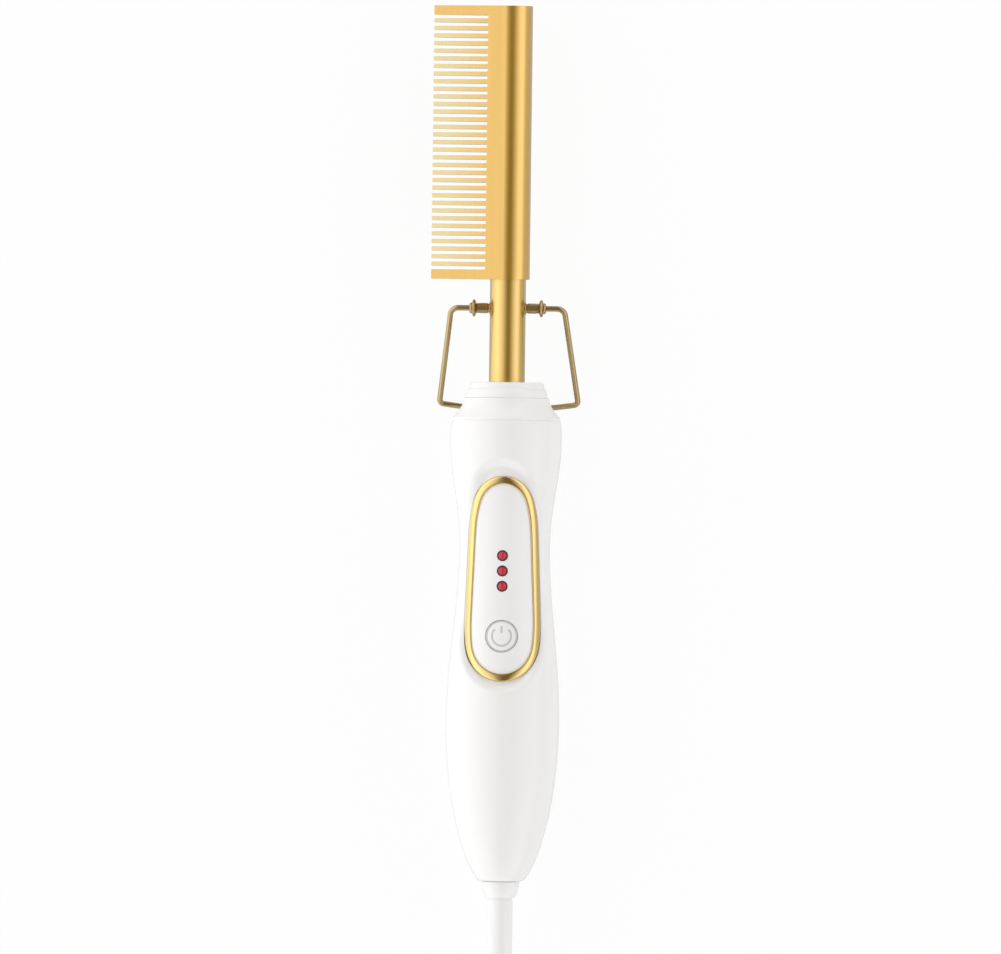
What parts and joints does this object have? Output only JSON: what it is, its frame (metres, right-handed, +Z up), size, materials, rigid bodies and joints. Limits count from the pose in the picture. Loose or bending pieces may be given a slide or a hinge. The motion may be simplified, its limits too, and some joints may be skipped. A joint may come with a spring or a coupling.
{
  "type": "electric hot comb",
  "caption": "Electric hot comb: heated metal comb on a steel shank, waisted two-shell grip with a control panel and push button, fold-out wire stand, swivel mains lead.",
  "frame": {"origin": "on the table, under the middle of the comb, handle and strain relief; the free lead is not counted", "axes": "+Y along the handle to the comb's tip, +Z up from the table through the button, teeth towards -X"},
  "size_m": [0.0494, 0.624, 0.0363],
  "materials": {
    "gold_comb": "satin gold anodised",
    "gold_shank": "satin gold plated",
    "gold_wire": "bright drawn",
    "gold_trim": "gold electroplated",
    "white_shell": "gloss moulded",
    "white_neck": "satin moulded",
    "red_led": "clear red epoxy",
    "white_flex": "soft satin",
    "cable_tie": "soft satin",
    "pin_metal": "nickel plated",
    "pin_sleeve": "satin",
    "steel": "zinc plated",
    "contact_metal": "bright",
    "ceramic_heater": "fired",
    "clamp_metal": "extruded",
    "glass_sleeve": "woven glass",
    "wire_white": "silicone",
    "wire_brown": "PVC",
    "wire_blue": "PVC",
    "board": "solder mask",
    "component_black": "moulded",
    "component_yellow": "moulded",
    "component_blue": "sleeved",
    "component_glass": "clear",
    "grey_plastic": "moulded"
  },
  "bodies": {
    "handle": {"comb_head": "gold_comb", "tip_plug": "gold_comb", "heater_plate": "ceramic_heater", "heater_clamp_front": "clamp_metal", "heater_clamp_rear": "clamp_metal", "thermistor": "component_black", "thermal_fuse": "clamp_metal", "heater_lead_live": "wire_white", "heater_lead_neutral": "wire_white", "sensor_leads": "wire_white", "lead_sleeve": "glass_sleeve", "shank_tube": "gold_shank", "shank_flange": "steel", "stud_left": "gold_wire", "stud_right": "gold_wire", "neck_collar": "white_neck", "shoulder_ring": "white_neck", "front_shell": "white_shell", "rear_shell": "white_shell", "shell_screws": "steel", "trim_ring": "gold_trim", "control_panel": "white_shell", "led_upper": "red_led", "led_middle": "red_led", "led_lower": "red_led", "circuit_board": "board", "board_screws": "steel", "switch_body": "component_black", "microcontroller": "component_black", "triac": "component_black", "film_capacitor": "component_yellow", "electrolytic_capacitor": "component_blue", "power_resistor": "component_blue", "glass_fuse": "component_glass", "brush_block": "grey_plastic", "brush_live": "contact_metal", "brush_neutral": "contact_metal", "mains_lead_live": "wire_brown", "mains_lead_neutral": "wire_blue", "cord_lead": "white_flex", "cord_hank": "white_flex", "cord_tail": "white_flex", "cord_tie": "cable_tie", "plug_body": "white_flex", "plug_sleeves": "pin_sleeve", "plug_pin_left": "pin_metal", "plug_pin_right": "pin_metal"},
    "stand": {"stand_wire": "gold_wire"},
    "button": {"power_button": "white_shell", "switch_plunger": "component_black"},
    "swivel": {"swivel_spool": "white_neck", "slip_ring_live": "contact_metal", "slip_ring_neutral": "contact_metal", "cord_boot": "white_flex"}
  },
  "joints": [
    {"name": "stand_hinge", "type": "hinge", "parent": "handle", "child": "stand", "pos_m": [0, 0.0658, 0.01815], "axis": [1, 0, 0], "range_deg": [0, 125]},
    {"name": "button_press", "type": "slide", "parent": "handle", "child": "button", "axis": [0, 0, -1], "range_m": [0, 0.0005], "stiffness_N_per_m": 1500},
    {"name": "lead_swivel", "type": "hinge", "parent": "handle", "child": "swivel", "pos_m": [0, -0.1, 0.01815], "axis": [0, 1, 0], "continuous": true}
  ]
}
